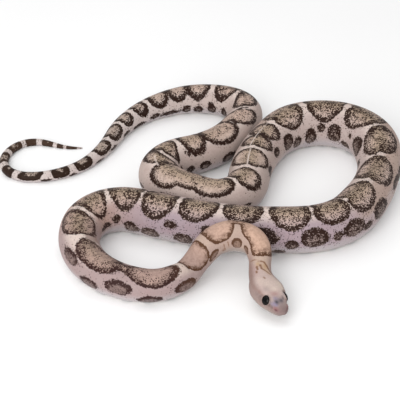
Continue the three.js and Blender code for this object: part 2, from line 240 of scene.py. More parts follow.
# (distance, width of the saddles' solid dark rims)
RIM = (
    (30, 0.3), (84, 0.3), (90, 0.5), (145, 0.5), (170, 0.6), (300, 0.65), (545, 0.9), (570, 1.7),
    (610, 1.5), (640, 1.4), (650, 1.8), (700, 1.6), (720, 1.2), (750, 1.2), (757, 1.8),
    (795, 1.6), (800, 2.4),
)
# (distance, strength of the dim brown halo just inside the rims)
HALO = ((86, 0.75), (150, 0.2), (400, 0.3), (470, 0.75), (700, 0.75), (800, 0.2))
# (distance, how ragged the outlines are and how far their specks spread, as a share)
RAGGED = ((20, 0.25), (60, 0.4), (90, 0.7), (120, 0.9), (700, 0.9), (760, 0.5), (862, 0.2))
CHECK_PITCH = 11.5              # from one dark check of the belly to the next
BLOTCH_SEED = 7
FAR = 30.0                      # what a field says far from every mark


def through(stations, column=1):
    """A smooth value between stations that never overshoots them (monotone cubic), for arrays."""
    x = np.array([row[0] for row in stations], float)
    y = np.array([row[column] for row in stations], float)
    width = np.diff(x)
    slope = np.diff(y) / width
    before = 2 * width[1:] + width[:-1]
    after = width[1:] + 2 * width[:-1]
    rising = slope[:-1] * slope[1:] > 0
    safe = np.where(rising, slope[:-1], 1), np.where(rising, slope[1:], 1)
    inner = np.where(rising, (before + after) / (before / safe[0] + after / safe[1]), 0)
    tangent = np.concatenate([slope[:1], inner, slope[-1:]])

    def value(at):
        at = np.clip(at, x[0], x[-1])
        i = np.clip(np.searchsorted(x, at, side="right") - 1, 0, len(width) - 1)
        t = (at - x[i]) / width[i]
        rise = (t**3 - 2 * t**2 + t) * tangent[i] + (t**3 - t**2) * tangent[i + 1]
        return y[i] + (3 * t**2 - 2 * t**3) * (y[i + 1] - y[i]) + width[i] * rise

    return value


girth = through(GIRTH)
head_crown = through(HEAD, 1)
head_depth = through(HEAD, 2)
raised = through(RAISED)
head_roll = through(HEAD_ROLL)
boxy = through(BOXY)
square = through(SQUARE)
aside = through(ASIDE)
mouth_line = through(MOUTH_LINE)


def share(value, start, end):
    """0 at start, 1 at end and a smooth step between."""
    t = np.clip((value - start) / (end - start), 0, 1)
    return t * t * (3 - 2 * t)


def bell(value, centre, width):
    """A bell curve of height 1."""
    return np.exp(-(((value - centre) / width) ** 2))


def window(value, start, end, soft):
    """1 between start and end, falling to 0 over soft beyond each."""
    return share(value, start - soft, start) * (1 - share(value, end, end + soft))


def between(at, stations):
    """A value that runs straight from each (distance, value) station to the next."""
    return np.interp(at, *zip(*stations))


# ---------------------------------------------------------------- the axis and the rings round it
def eased(x):
    """The sum of a step that rises evenly over two EASE lengths."""
    inside = np.clip(x, -EASE, EASE)
    return (inside + EASE) ** 2 / (4 * EASE) + np.maximum(x - EASE, 0)


def heading(at):
    """The way back along the body, in radians: each bend adds its turn evenly, eased at its ends."""
    at = np.asarray(at, float)
    degrees = np.full(at.shape, SNOUT_HEADING)
    start = 0.0
    for _, length, turn in ROUTE:
        degrees = degrees + turn * (eased(at - start) - eased(at - start - length)) / length
        start += length
    return np.radians(degrees)


MIDDLES = np.arange(STEP / 2, BODY_LENGTH, STEP)
STRIDES = STEP * np.stack([np.cos(heading(MIDDLES)), np.sin(heading(MIDDLES))], 1)
WALK = np.concatenate([[[0, 0]], np.cumsum(STRIDES, 0)]) + (SNOUT_X, SNOUT_Y)
WALK_AT = np.arange(len(WALK)) * STEP


def height(at):
    """The axis's height: raised at the neck, and then the belly's depth over the floor."""
    down = share(at, *TOUCHDOWN)
    return raised(at) * (1 - down) + BELLY * girth(at) * down


def unit(vectors):
    """The vectors at length 1."""
    return vectors / np.linalg.norm(vectors, axis=-1, keepdims=True)


def axes(at):
    """The axis point and the body's own right, up and tailward directions at each distance.

    Behind the neck the axis counts as level, although it sinks a little as the body grows thinner.
    """
    at = np.asarray(at, float)
    h = heading(np.clip(at, 0, BODY_LENGTH))
    inside = np.clip(at, 0, WALK_AT[-1])
    beyond = at - inside
    x = np.interp(inside, WALK_AT, WALK[:, 0]) + beyond * np.cos(h)
    y = np.interp(inside, WALK_AT, WALK[:, 1]) + beyond * np.sin(h)
    climb = (height(at + STEP) - height(at - STEP)) / (2 * STEP)
    climb = np.where(at > TOUCHDOWN[1], 0, climb)
    back = unit(np.stack([np.cos(h), np.sin(h), climb], -1))
    level = np.stack([-np.sin(h), np.cos(h), 0 * h], -1)
    lean = np.radians(head_roll(at))[..., None]
    side = level * np.cos(lean) + unit(np.cross(back, level)) * np.sin(lean)
    return np.stack([x, y, height(at)], -1), side, unit(np.cross(back, side)), back


def rounding(at):
    """How much of its section is left where nose and tail tip round over: a quarter ellipse."""
    nose = np.clip((SNOUT_CAP[0] - at) / SNOUT_CAP[1], 0, 1)
    tip = np.clip((at - TAIL_CAP[0]) / TAIL_CAP[1], 0, 1)
    return np.sqrt(np.maximum(1 - nose**2, 0) * np.maximum(1 - tip**2, 0))


def skin_points(at, angle):
    """Points of the bare form: rings of a superellipse whose underside is cut flat at the belly."""
    origin, side, up, _ = axes(at)
    half = girth(at)
    to_body = share(at, *HEAD_TO_BODY)
    crown = head_crown(at) * (1 - to_body) + CROWN * half * to_body
    depth = head_depth(at) * (1 - to_body) + BELLY * half * to_body
    power = (2 / boxy(at))[:, None]
    left = rounding(at)[:, None]
    out = half[:, None] * np.sign(np.sin(angle)) * np.abs(np.sin(angle)) ** power
    rise = np.abs(np.cos(angle)) ** power
    under = rise / FLANK
    flat = 1 - np.logaddexp(0, (1 - under) * BELLY_EDGE) / BELLY_EDGE
    sunk = -depth[:, None] * np.minimum(flat, under)
    lift = np.where(np.cos(angle) > 0, crown[:, None] * rise, sunk)
    shape = side[:, None] * (out * left)[..., None] + up[:, None] * (lift * left)[..., None]
    return origin[:, None] + shape


def outward(points, centre):
    """Unit normals of a grid of points that closes round its second way, pointing from centre.

    A normal is the cross product of the steps to the neighbours along and across.
    """
    along = np.gradient(points, axis=0)
    closed = np.concatenate([points[:, -1:], points, points[:, :1]], 1)
    across = (closed[:, 2:] - closed[:, :-2]) / 2
    normal = unit(np.cross(along, across) + 1e-12)
    facing = np.sign(((points - centre[:, None]) * normal).sum(-1, keepdims=True))
    return normal * facing


# ---------------------------------------------------------------- where the rings and columns stand
COLUMNS = 96
CAP_RINGS = 8                   # rings on the round of the nose, and of the tail's tip
EYE_RINGS, EYE_COLUMNS = 32, 48
HEAD_RINGS = ((0.25, 4.5), (0.15, 12.5), (0.3, 30.0))      # (spacing, up to this distance)
HEAD_END = HEAD_RINGS[-1][1]
TRUNK_SCUTE, TAIL_SCUTE = 3.05, 2.4      # length of one belly scute
SCUTE_RINGS = (0.0, 0.17, 0.58)          # the first ring of each scute lies in its groove
MOUTH_COLUMN = math.radians(112.5)       # the column of points that the mouth line pulls to itself
MOUTH_PULL = math.radians(45)            # how far from that column others are pulled along
EYE_CROWDING = 0.5                       # how much closer the columns stand at the eyes
CROWDING_ENDS = (14, 26)                 # the distances over which they spread out again


def ring_places():
    """Distances of all rings: close on the head, and then three to each belly scute.

    With them comes a row that is 1 for the rings that lie in a scute's groove and 0 for the rest.
    """
    turn = np.linspace(0, math.pi / 2, CAP_RINGS + 1)[1:]
    nose = SNOUT_CAP[0] - SNOUT_CAP[1] * np.cos(turn)
    head = nose[-1:]
    for spacing, end in HEAD_RINGS:
        head = np.concatenate([head, np.arange(head[-1] + spacing, end, spacing)])
    head = head[1:]
    trunk = np.arange(HEAD_END, VENT, TRUNK_SCUTE)
    tail = np.arange(trunk[-1] + TRUNK_SCUTE, TAIL_CAP[0] - TAIL_SCUTE, TAIL_SCUTE)
    starts = np.concatenate([trunk, tail])
    pitch = np.concatenate([np.diff(starts), [TAIL_SCUTE]])
    body = (starts[:, None] + pitch[:, None] * np.array(SCUTE_RINGS)).ravel()
    last = np.linspace(body[-1], TAIL_CAP[0], 4)[1:]
    tip = TAIL_CAP[0] + TAIL_CAP[1] * np.sin(turn[:-1])
    places = np.concatenate([nose, head, body, last, tip])
    groove = np.zeros(len(places))
    groove[len(nose) + len(head) :][: len(body) : len(SCUTE_RINGS)] = 1
    return places, groove


def column_angles(at):
    """Angles round the body from the spine, + to the right, with one column along the mouth.

    Each even angle a becomes a + c sin 3a, which crowds the columns at the eyes. The mouth's column
    then moves onto the line between the lips, and takes its neighbours with it.
    """
    crowding = EYE_CROWDING / 3 * (1 - share(at, *CROWDING_ENDS))[:, None]
    angle = np.linspace(-math.pi, math.pi, COLUMNS, endpoint=False)[None]
    angle = angle + crowding * np.sin(3 * angle)
    column = MOUTH_COLUMN + crowding * math.sin(3 * MOUTH_COLUMN)
    low = np.clip(-mouth_line(at) / head_depth(at) * FLANK, 0.02, 0.95) ** (boxy(at) / 2)
    pull = (math.pi - np.arccos(low)[:, None] - column) * window(at, 0.8, MOUTH_END, 3)[:, None]
    near = share(-np.abs(np.abs(angle) - column), -MOUTH_PULL, 0)
    return angle + np.sign(angle) * pull * near


# ---------------------------------------------------------------- relief pushed into the skin
def head_place(points):
    """Places along, out and up from the snout in the head's axes, taken at the eyes."""
    origin, side, up, back = (value[0] for value in axes([EYE_AT]))
    apart = points - origin
    return apart @ back + EYE_AT, apart @ side, apart @ up


def eye_axes(hand):
    """The eye's centre and its outward, upward and forward directions; hand is 1 on the right."""
    origin, side, up, back = (value[0] for value in axes([EYE_AT]))
    tip_up = math.radians(EYE_FACE_UP)
    tip_on = math.radians(EYE_FACE_FORWARD)
    out = -back * math.sin(tip_on) + hand * side * math.cos(tip_up) * math.cos(tip_on)
    out = unit(out + up * math.sin(tip_up))
    rise = hand * unit(np.cross(back, out))
    centre = origin + hand * side * EYE_OUT + up * EYE_UP
    return centre, out, rise, hand * np.cross(rise, out)


def eye_sockets(points):
    """The points moved out onto a mound round each eye, which the eye's dome pierces at the lids.

    The mound is half a flat ellipsoid outwards and half a deep one inwards: a point within it moves
    straight away from the eye's centre to its surface. Points over the eye are lowered to the mound,
    which is cut off flat inside the lids. The mound's thickness lets it meet the eye's own ellipsoid
    at the edge of the lids.
    """
    lid = LID_OPEN * EYE_RADIUS / LID_RADIUS
    thick = EYE_THICK * math.sqrt((1 - LID_OPEN**2) / (1 - lid**2))
    for hand in (1, -1):
        centre, out, _, _ = eye_axes(hand)
        apart = points - centre
        depth = apart @ out
        away = np.linalg.norm(apart - depth[..., None] * out, axis=-1) / LID_RADIUS
        deep = thick + (LID_ROOT - thick) * share(-depth, *LID_DEEPENS)
        size = np.maximum(np.hypot(away, depth / deep), 0.05)      # never 0, for the next line
        grow = (size + np.logaddexp(0, LID_EDGE * (1 - size)) / LID_EDGE) / size
        apart = apart * grow[..., None]
        depth, away = depth * grow, away * grow
        mound = thick * np.sqrt(np.maximum(1 - np.maximum(away, lid) ** 2, 0))
        proud = np.maximum(depth - mound, 0) * (1 - share(away, *LID_SHAVES))
        points = centre + apart - out * proud[..., None]
    return points


def head_relief(at, angle, points):
    """How far the head's skin is pushed out: a sum of bell curves, each one form of the head."""
    along, out, up = head_place(points)
    around = np.degrees(np.abs(angle))
    at = at[:, None]
    # the groove between the lips, and the full lips along it
    from_mouth = up - mouth_line(along)
    beside = np.maximum(share(around, 70, 95), share(-along, -1.2, -0.2))
    lips = window(along, -2, MOUTH_END, 0.7) * beside
    push = lips * (-0.3 * bell(from_mouth, 0, 0.24) + 0.1 * bell(np.abs(from_mouth), 0.8, 0.45))
    # the nostrils, each with a raised ring
    apart = (along - NOSTRIL[0]) ** 2 + (np.abs(out) - NOSTRIL[1]) ** 2 + (up - NOSTRIL[2]) ** 2
    to_nostril = np.sqrt(apart)
    push += -0.5 * bell(to_nostril, 0, 0.42) + 0.1 * bell(to_nostril, 0.75, 0.3)
    # ridges of the snout, hollows before the eyes, temples, the crown's dip and its two sides, chin
    push += 0.16 * bell(around, 50, 9) * window(at, 2.6, 5.5, 1.5)
    push += -1.3 * bell(around, 70, 18) * window(at, 4.2, 5.8, 1.5)
    push += 0.25 * bell(around, 74, 20) * bell(at, 16.5, 4)
    push += -0.15 * bell(around, 0, 12) * bell(at, 13.5, 4)
    push += 0.12 * bell(around, 24, 9) * bell(at, 13.5, 5)
    push += -0.2 * bell(around, 180, 4) * window(at, 2.5, 12, 2)
    return push


def body_relief(at, angle, groove):
    """How far the body's skin is pushed out, in proportion to its width: a sum of its forms."""
    around = np.degrees(np.abs(angle))
    half = girth(at)[:, None]
    size = np.clip(half / 11, 0.2, 1)
    at = at[:, None]
    # grooves between the belly's scutes, and the midline that parts them under the tail
    below = share(around, 134, 143)
    push = -0.24 * size * groove[:, None] * below
    push += -0.14 * size * bell(around, 180, 5) * share(at, VENT, VENT + 6)
    # the spine, with a shallow trough on each side
    trunk = window(at, 110, 740, 40)
    push += trunk * size * (0.22 * bell(around, 0, 7) - 0.16 * bell(around, 24, 9))
    # folds across the inside of a bend, where the skin is squeezed
    squeeze = (heading(at + 1) - heading(at - 1)) / 2 * half * np.sin(angle)
    wander = 1.6 * np.sin(2 * angle + at / 9)
    fold = 0.5 + 0.5 * np.cos(2 * math.pi * at / 4.4 + wander)
    push += -0.3 * size * fold * share(squeeze, 0.34, 0.85) * (1 - below)
    # low uneven swellings everywhere else
    lump = np.sin(at / 5.7 + 2 * np.sin(3 * angle)) * np.sin(4 * angle + at / 13)
    push += 0.07 * size * lump * share(at, 30, 50) * (1 - below)
    return push


def finished_points(at, angle, groove):
    """The skin's points with all its relief, and the two poles that close its ends."""
    bare = skin_points(at, angle)
    normal = outward(bare, axes(at)[0])
    fade = share(rounding(at), 0.25, 0.7)[:, None]
    push = (1 - share(at, 26, 30))[:, None] * head_relief(at, angle, bare)
    push += fade * share(at, 22, 34)[:, None] * body_relief(at, angle, groove)
    poles = axes([SNOUT_CAP[0] - SNOUT_CAP[1], TAIL_CAP[0] + TAIL_CAP[1]])[0]
    return eye_sockets(bare + normal * push[..., None]), poles


# ---------------------------------------------------------------- the markings as fields
def saddle_field(at, angle):
    """Millimetres inside the nearest back saddle: each is a superellipse, notched at the spine."""
    field = np.full(angle.shape, -FAR)
    degrees = np.degrees(angle)
    for start, end, reach, lean, slant in SADDLES:
        half = (end - start) / 2
        rows = np.abs(at - (start + end) / 2) < half + 14
        # the middle leans and slants more and more down the flanks
        turn = np.clip(degrees[rows] / 45, -1.5, 1.5)
        middle = (start + end) / 2 + lean * np.abs(turn) + slant * turn
        # the notches are deeper and wider on the middle of the body
        pinch = float(window(start, 280, 440, 15))
        notch = (0.5 * share(start, 140, 180) + 0.7 * pinch) * bell(degrees[rows], 0, 5 + 3 * pinch)
        half = half + 0.45 * pinch
        across = np.abs(at[rows, None] - middle) / (half - notch)
        down = np.abs(degrees[rows] - aside(middle)) / reach
        power = square(at[rows])[:, None]
        size = (across**power + down**power) ** (1 / power)
        deep = np.radians(reach) * girth(at[rows])[:, None]
        inside = (1 - size) * np.minimum(half * 1.15, deep)
        field[rows] = np.maximum(field[rows], inside)
    return field


def line_field(at, arc, lines, per_degree):
    """Millimetres inside the nearest line: its half width less the distance to its middle."""
    field = np.full(arc.shape, -FAR)
    for start, start_degrees, end, end_degrees, half in lines:
        rows = (at > min(start, end) - 12) & (at < max(start, end) + 12)
        along = at[rows, None] - start
        off = arc[rows] - per_degree[rows] * start_degrees
        long = end - start
        tall = float(girth((start + end) / 2)) * math.radians(end_degrees - start_degrees)
        part = np.clip((along * long + off * tall) / (long**2 + tall**2), 0, 1)
        inside = half - np.hypot(along - part * long, off - part * tall)
        field[rows] = np.maximum(field[rows], inside)
    return field


def ellipse_field(at, arc, marks, per_degree, core=False):
    """Millimetres inside the nearest of the elliptic marks, or of their low pale cores.

    A core is a smaller ellipse set lower down. Small marks have none, and those on the front body
    have one so large that only a ring is left.
    """
    field = np.full(arc.shape, -FAR)
    for place, degrees, half, tall in marks:
        rows = np.abs(at - place) < half + 10
        scale, drop = 1, 0
        if core:
            ring = float(1 - share(place, 130, 160))
            scale = 0.6 * float(share(tall, 1.8, 3)) * (1 - ring) + 0.68 * ring + 0.02
            drop = 0.3 * tall
        centre = per_degree[rows] * degrees + math.copysign(drop, degrees)
        half, tall = half * scale, tall * scale
        size = np.sqrt(((at[rows, None] - place) / half) ** 2 + ((arc[rows] - centre) / tall) ** 2)
        inside = (1 - size) * min(half, tall)
        field[rows] = np.maximum(field[rows], inside)
    return field


def all_blotches(seed):
    """The listed flank blotches, and where a flank has none, one under each gap in the saddles.

    A second, lower row stands under the middles of the saddles. The last bands, which go round the
    tail, have neither.
    """
    draw = np.random.default_rng(seed)
    marks = list(BLOTCHES)
    for hand in (1, -1):
        taken = np.array([place for place, degrees, _, _ in BLOTCHES if degrees * hand > 0])
        for before, after in zip(SADDLES[1:-8], SADDLES[2:-7]):
            place = (before[1] + after[0]) / 2
            shift, low, size = draw.uniform(-1, 1, 3)
            if np.abs(taken - place).min() > 10:
                tall = 0.2 * float(girth(place)) * (1.3 + 0.3 * size)
                marks.append((place + shift, hand * (84 + 4 * low), 1.6 * tall, tall))
            middle = (after[0] + after[1]) / 2
            if np.abs(taken - middle).min() > 12:
                marks.append((middle, hand * (112 + 4 * low), 2.2 + size * 0.5, 1.2 + 0.3 * size))
    return marks


def checker_field(at, angle):
    """Millimetres inside the belly's dark checks, of which the neck has none.

    They are the crests of a wobbling wave along each side of the midline.
    """
    around = np.degrees(np.abs(angle))
    at = at[:, None]
    wobble = 1.3 * np.sin(at / 17.0) + 0.9 * np.sin(at / 6.1 + 2)
    check = np.cos(2 * math.pi / CHECK_PITCH * at + wobble + 1.1 * np.sign(angle)) - 0.25
    field = check * 1.8 - 4 * (1 - window(around, 140, 172, 6))
    return field - 6 * (1 - share(at, 60, 100))


def skin_fields(at, angle, arc):
    """The markings, and how they are drawn, on each point of the skin."""
    per_degree = girth(at)[:, None] * math.radians(1)
    place = np.broadcast_to(at[:, None], angle.shape)
    around = np.degrees(np.abs(angle))
    left = -np.degrees(angle)
    # specks crowd along the spine and on the left of one length, and thin out beside the spine
    crowd = between(place, CROWD) + 0.05 * window(place, 170, 460, 20)
    crowd = crowd + 0.2 * bell(around, 0, 20) * window(place, 165, 640, 20)
    crowd = crowd + 0.2 * window(place, 500, 560, 8) * share(left, -8, 12)
    crowd = crowd - 0.2 * bell(around, 37, 11) * window(place, 165, 640, 20)
    # rims are thin across the spine, absent where two neck saddles merge, wide on the tail's flanks
    rim = between(place, RIM)
    rim = rim * (1 - 0.75 * (1 - share(around, 10, 42)) * window(place, 110, 660, 40))
    rim = rim * (1 - window(place, 48.5, 55.5, 1) * share(left, -8, 4))
    rim = rim * (1 + 0.7 * share(around, 30, 65) * window(place, 695, 796, 10))
    blotches = all_blotches(BLOTCH_SEED)
    return {
        "saddle": saddle_field(at, angle),
        "seam": line_field(at, arc, SEAMS, per_degree),
        "blotch": ellipse_field(at, arc, blotches, per_degree),
        "core": ellipse_field(at, arc, blotches, per_degree, core=True),
        "nape": line_field(at, arc, NAPE_LINES, per_degree),
        "check": checker_field(at, angle),
        "belly": share(around, 118, 136),
        "crowd": crowd,
        "rim": rim,
        "halo": between(place, HALO),
        "ragged": between(place, RAGGED),
        "blotch_strength": 0.96 - 0.2 * share(around, 86, 112) * window(place, 180, 520, 40),
    }


# ---------------------------------------------------------------- the colours on each point
def along_body(at, stations):
    """A colour that runs evenly from each (distance, colour) station to the next."""
    parts = [between(at, [(place, tone[k]) for place, tone in stations]) for k in range(3)]
    return np.stack(parts, -1)


def blend_in(base, tone, part):
    """base with the tone mixed in by part, for arrays of colours."""
    part = part[..., None]
    return base * (1 - part) + np.asarray(tone) * part


def skin_colours(skin, at, angle, arc):
    """The ground's, warm ground's, saddles' and outlines' colours on each point.

    Each is a colour that runs along the body, with others blended in over bands round it.
    """
    around = np.degrees(np.abs(angle))
    left = -np.degrees(angle)
    place = np.broadcast_to(at[:, None], angle.shape)
    # the head's sides start in the cheek tone: darker skin, partly painted shade where they turn from
    # the light
    flank = along_body(place, (
        (0, skin.cheek_and_painted_shade), (26, skin.cheek_and_painted_shade), (38, skin.neck_ground),
        (60, skin.neck_ground), (90, skin.front_ground), (150, skin.front_ground),
        (172, skin.tan_ground), (210, skin.lilac_ground), (290, skin.lilac_ground),
        (325, skin.mid_ground), (430, skin.mid_ground), (470, skin.rear_ground),
        (640, skin.rear_ground), (720, skin.tail_ground),
    ))
    back = along_body(place, (
        (0, skin.crown_tone), (26, skin.crown_tone), (32, skin.neck_cream), (68, skin.neck_cream),
        (96, skin.cream), (640, skin.cream), (740, skin.tail_cream),
    ))
    # the back's cream gives way to the flank's tone higher up on the trunk, and highest in one bay
    on_trunk = share(place, 150, 190)
    bay = window(place, 107, 122, 4)
    down = share(around, 22 - 8 * on_trunk - 16 * bay, 62 - 14 * on_trunk - 36 * bay)
    ground = blend_in(back, flank, down)
    ground = blend_in(ground, skin.low_flank, share(around, 86, 124) * share(place, 60, 110))
    ground = blend_in(ground, skin.lip_tone, share(around, 92, 118) * (1 - share(place, 40, 90)))
    ground = blend_in(ground, skin.belly, share(around, 122, 140) * share(place, 20, 50))
    inner = along_body(place, (
        (0, skin.neck_saddle), (52, skin.neck_saddle), (80, skin.front_saddle),
        (150, skin.front_saddle), (185, skin.mid_saddle), (640, skin.mid_saddle),
        (740, skin.tail_saddle),
    ))
    # painted shade on the far, left side of one length between the saddles, and a soft brown patch on
    # the left between two front saddles
    far_left_shade_and_patch = window(place, 310, 445, 12) * window(left, 20, 60, 14)
    far_left_shade_and_patch = np.maximum(far_left_shade_and_patch, window(place, 142, 148, 3) * window(left, 16, 52, 8))
    ground = blend_in(ground, inner * 0.72, 0.8 * far_left_shade_and_patch)
    inner = blend_in(inner, skin.olive, 0.62 * bell(around, 0, 26) * window(place, 160, 560, 60))
    inner = blend_in(inner, flank, 0.5 * bell(around, 42, 18) * window(place, 180, 720, 40))
    edge = along_body(place, (
        (0, skin.neck_edge), (80, skin.neck_edge), (95, skin.front_edge), (145, skin.front_edge),
        (185, skin.mid_edge), (640, skin.mid_edge), (740, skin.tail_edge), (800, skin.tail_edge),
        (830, skin.tip_edge),
    ))
    warm = blend_in(ground, skin.rose, 0.12 * (1 - share(around, 100, 130)))
    for tone, strength, spot, degrees, long, tall in HEAD_TINTS:
        off = arc - np.radians(degrees) * girth(at)[:, None]
        part = strength * np.exp(-(((place - spot) / long) ** 2) - (off / tall) ** 2)
        ground = blend_in(ground, getattr(skin, tone), part)
        warm = blend_in(warm, getattr(skin, tone), part)
    return {"ground": ground, "ground_warm": warm, "inner": inner, "edge": edge}


# ---------------------------------------------------------------- settings
def tint(red, green, blue):
    """A scene colour from the 0 to 255 levels that a screen shows."""
    level = np.array([red, green, blue]) / 255
    curved = ((level + 0.055) / 1.055) ** 2.4
    return tuple(float(value) for value in np.where(level <= 0.04045, level / 12.92, curved))


def colour(name, description, levels):
    """A colour setting, its default given in the 0 to 255 levels that a screen shows."""
    return bpy.props.FloatVectorProperty(
        name=name, description=description, subtype="COLOR", size=3, min=0, max=1,
        default=tint(*levels),
    )


def amount(name, description, default, top=1.0, unit="NONE"):
    """A number setting that runs from 0 to top."""
    return bpy.props.FloatProperty(
        name=name, description=description, default=default, min=0, max=top, unit=unit
    )


class SnakeSkinSettings(bpy.types.PropertyGroup):
    """Colours and finish of the skin."""

    cream: colour("Cream", "Bars between the saddles on the back", (212, 196, 187))
    neck_cream: colour("Neck cream", "Bars between the saddles on the neck", (182, 160, 146))
    tail_cream: colour("Tail cream", "Bars between the bands of the tail", (206, 194, 188))
    neck_ground: colour("Neck ground", "Flank of the neck", (174, 151, 139))
    front_ground: colour("Front ground", "Flank of the front body", (160, 141, 139))
    tan_ground: colour("Tan ground", "Flank behind the front body", (174, 147, 135))
    lilac_ground: colour("Lilac ground", "Flank before the middle", (162, 145, 151))
    mid_ground: colour("Middle ground", "Flank of the middle body", (186, 169, 163))
    rear_ground: colour("Rear ground", "Flank of the rear body", (184, 167, 159))
    tail_ground: colour("Tail ground", "Flank of the tail", (198, 186, 181))
    low_flank: colour("Low flank", "Skin just above the belly", (186, 178, 180))
    belly: colour("Belly", "Belly scutes", (206, 198, 194))
    check: colour("Belly checks", "Dark patches on the belly", (84, 74, 76))
    neck_saddle: colour("Neck saddles", "Inside of the first saddles", (197, 164, 145))
    front_saddle: colour("Front saddles", "Inside of the front saddles", (166, 140, 130))
    mid_saddle: colour("Middle saddles", "Inside of the middle saddles", (199, 173, 158))
    tail_saddle: colour("Tail saddles", "Inside of the tail bands", (172, 155, 143))
    neck_edge: colour("Neck edges", "Outline of the first saddles", (82, 55, 39))
    front_edge: colour("Front edges", "Outline of the front saddles", (46, 24, 22))
    mid_edge: colour("Dark brown", "Outlines and specks of the body", (36, 16, 8))
    tail_edge: colour("Tail brown", "Bands of the tail", (36, 19, 9))
    tip_edge: colour("Tail tip brown", "Bands of the tail's thin end", (56, 37, 26))
    olive: colour("Olive", "Cast along the spine inside the saddles", (148, 132, 108))
    crown_tone: colour("Crown", "Top of the head", (190, 170, 163))
    # paler skin on the crown, partly painted light where the crown turns from the lamps
    pale_crown_and_painted_light: colour("Pale crown", "Palest skin on top of the head", (216, 199, 186))
    # darker sides of the head, partly painted shade
    cheek_and_painted_shade: colour("Cheek", "Sides of the head", (149, 130, 124))
    nape_tan: colour("Nape tan", "Inside of the spear marks on the nape", (176, 145, 112))
    nape_line: colour("Nape lines", "Thin lines on the nape", (120, 87, 64))
    stripe_tone: colour("Cheek stripe", "Faint stripe behind each eye", (138, 108, 98))
    lip_tone: colour("Lips", "Lips, chin and throat", (162, 151, 145))
    snout_tone: colour("Snout", "Front of the snout", (128, 109, 107))
    snout_blue: colour("Snout blue", "Cast on top of the snout", (134, 125, 150))
    snout_grey: colour("Snout grey", "Top of the snout", (118, 110, 114))
    slate: colour("Slate", "Dark smudges on the snout", (60, 61, 70))
    rose: colour("Rose", "Skin round the nostrils and between the eyes", (150, 102, 102))
    # painted shade inside the shallow nostril pits
    nostril_pit_shade: colour("Nostril", "Inside of the nostrils", (74, 40, 44))
    fray: amount("Fray", "How ragged the outlines are, in millimetres", 0.7, 3)
    speck: amount("Speck size", "Width of one dark speck, in millimetres", 0.46, 4)
    roughness: amount("Roughness", "Roughness of the bare skin", 0.5)
    grain: amount("Grain", "Strength of the fine grain in the skin", 0.35)


class SnakeEyeSettings(bpy.types.PropertyGroup):
    """Colours of the eyes."""

    iris: colour("Iris", "Ring round the pupil", (16, 10, 8))
    pupil: colour("Pupil", "Round pupil", (3, 3, 4))
    pupil_share: amount("Pupil size", "Pupil radius as a share of the eye's", 0.52)


class SnakeStageSettings(bpy.types.PropertyGroup):
    """Floor, camera and lights."""

    floor_tone: colour("Floor", "Colour of the floor", (250, 250, 250))
    camera_distance: amount("Camera distance", "From the middle of the snake", 0.8, 10, "LENGTH")
    camera_angle: amount("Camera angle", "Angle above the floor", math.radians(33), 1.5, "ROTATION")
    lens: amount("Lens", "Focal length on a 36 mm sensor", 144, 500, "CAMERA")
    key_power: amount("Key light", "Power of the large light overhead", 1.9, 200, "POWER")
    fill_power: amount("Fill light", "Power of the light beside the camera", 6, 200, "POWER")
    sky: amount("Sky", "Strength of the light from all round", 0.7, 10)


